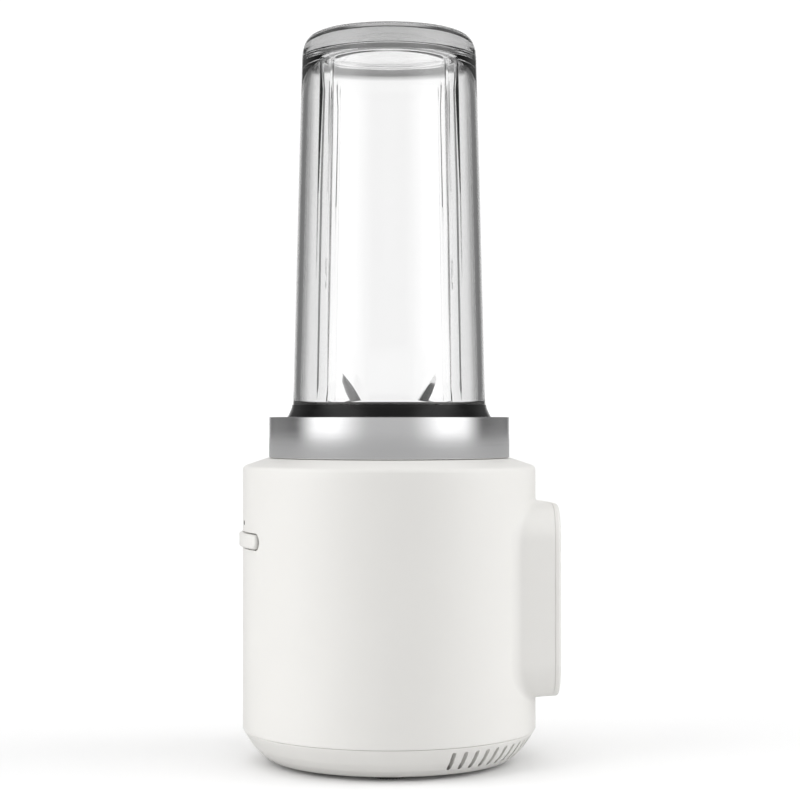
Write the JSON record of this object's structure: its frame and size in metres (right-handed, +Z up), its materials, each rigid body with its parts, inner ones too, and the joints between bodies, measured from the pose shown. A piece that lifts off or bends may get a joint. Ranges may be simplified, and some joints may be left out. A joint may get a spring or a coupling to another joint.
{
  "type": "cordless countertop blender",
  "caption": "Cordless personal blender: white motor base with a battery bay, steel trim band, and a clear inverted jar over a blade unit that lifts off, unscrews and spins.",
  "frame": {"origin": "on the jar's axis, at the height of the surface that the feet stand on", "axes": "+Z up along the jar's axis; the power button faces -Y and the battery slides out along +Y; +X is to the right of a person who faces the button"},
  "size_m": [0.132, 0.1399, 0.3266],
  "materials": {
    "white_plastic": "satin moulded ABS",
    "satin_steel": "satin, turned",
    "clear_tritan": "clear, polished",
    "black_plastic": "semi-gloss black",
    "dark_grey_plastic": "fine texture",
    "rubber": "matt",
    "blade_steel": "polished stainless",
    "zinc_steel": "zinc plated",
    "sintered_bronze": "sintered",
    "copper_winding": "enamelled copper",
    "carbon": "pressed carbon",
    "ferrite": "sintered ferrite",
    "circuit_board": "solder mask",
    "cell_sleeve": "heat-shrink sleeve over a steel can",
    "smoked_lens": "clear smoked",
    "red_wire": "wire insulation"
  },
  "bodies": {
    "base": {"motor_housing": "white_plastic", "base_pan": "white_plastic", "trim_band": "satin_steel", "jar_seat": "dark_grey_plastic", "motor_mount": "dark_grey_plastic", "motor_can": "zinc_steel", "motor_end_cap": "black_plastic", "bearing_lower": "zinc_steel", "bearing_upper": "zinc_steel", "magnet_left": "ferrite", "magnet_right": "ferrite", "brush_left": "carbon", "brush_right": "carbon", "control_board": "circuit_board", "button_switch": "black_plastic", "led_lens": "smoked_lens", "interlock_switch": "black_plastic", "interlock_plunger": "dark_grey_plastic", "dock_terminal_block": "black_plastic", "battery_lead": "red_wire", "signal_lead": "black_plastic", "foot_1": "rubber", "foot_2": "rubber", "foot_3": "rubber", "foot_4": "rubber", "pan_screw_1": "zinc_steel", "pan_screw_2": "zinc_steel", "pan_screw_3": "zinc_steel", "pan_screw_4": "zinc_steel", "mount_screw_1": "zinc_steel", "mount_screw_2": "zinc_steel", "mount_screw_3": "zinc_steel", "motor_screw_1": "zinc_steel", "motor_screw_2": "zinc_steel"},
    "rotor": {"motor_shaft": "blade_steel", "armature": "copper_winding", "commutator": "copper_winding", "cooling_fan": "black_plastic", "drive_coupling": "black_plastic"},
    "button": {"power_button": "white_plastic"},
    "battery": {"battery_cover": "white_plastic", "battery_tray": "dark_grey_plastic", "battery_cell_1": "cell_sleeve", "battery_cell_2": "cell_sleeve", "battery_cell_3": "cell_sleeve", "battery_board": "circuit_board", "charge_port": "zinc_steel"},
    "release": {"battery_release_button": "dark_grey_plastic"},
    "twist_ring": {"lock_ring": "black_plastic"},
    "blade_unit": {"blade_base": "black_plastic", "bushing_lower": "sintered_bronze", "bushing_upper": "sintered_bronze", "spindle_seal": "rubber"},
    "gasket": {"jar_gasket": "rubber"},
    "jar": {"jar": "clear_tritan"},
    "blades": {"blade_spindle": "blade_steel", "blade_upper": "blade_steel", "blade_lower": "blade_steel", "thrust_washer": "sintered_bronze", "driven_coupling": "black_plastic"}
  },
  "joints": [
    {"name": "motor_spin", "type": "hinge", "parent": "base", "child": "rotor", "pos_m": [0, 0, 0.1], "axis": [0, 0, 1], "continuous": true},
    {"name": "button_press", "type": "slide", "parent": "base", "child": "button", "axis": [0, 1, 0], "range_m": [0, 0.001], "stiffness_N_per_m": 3000},
    {"name": "battery_slide", "type": "slide", "parent": "base", "child": "battery", "axis": [0, 1, 0], "range_m": [0, 0.06]},
    {"name": "release_press", "type": "slide", "parent": "battery", "child": "release", "axis": [0, -1, 0], "range_m": [0, 0.0015], "stiffness_N_per_m": 1500},
    {"name": "jar_twist", "type": "hinge", "parent": "base", "child": "twist_ring", "pos_m": [0, 0, 0.1405], "axis": [0, 0, 1], "range_deg": [-20, 0]},
    {"name": "jar_lift", "type": "slide", "parent": "twist_ring", "child": "blade_unit", "axis": [0, 0, 1], "range_m": [0, 0.12]},
    {"name": "jar_unscrew", "type": "hinge", "parent": "blade_unit", "child": "gasket", "pos_m": [0, 0, 0.16], "axis": [0, 0, 1], "range_deg": [0, 540]},
    {"name": "jar_rise", "type": "slide", "parent": "gasket", "child": "jar", "axis": [0, 0, 1], "range_m": [0, 0.0182]},
    {"name": "blade_spin", "type": "hinge", "parent": "blade_unit", "child": "blades", "pos_m": [0, 0, 0.15], "axis": [0, 0, 1], "continuous": true}
  ],
  "couplings": [
    {"joint": "jar_rise", "follows": "jar_unscrew", "m_per_rad": 0.00191},
    {"joint": "blade_spin", "follows": "motor_spin", "ratio": 1}
  ]
}
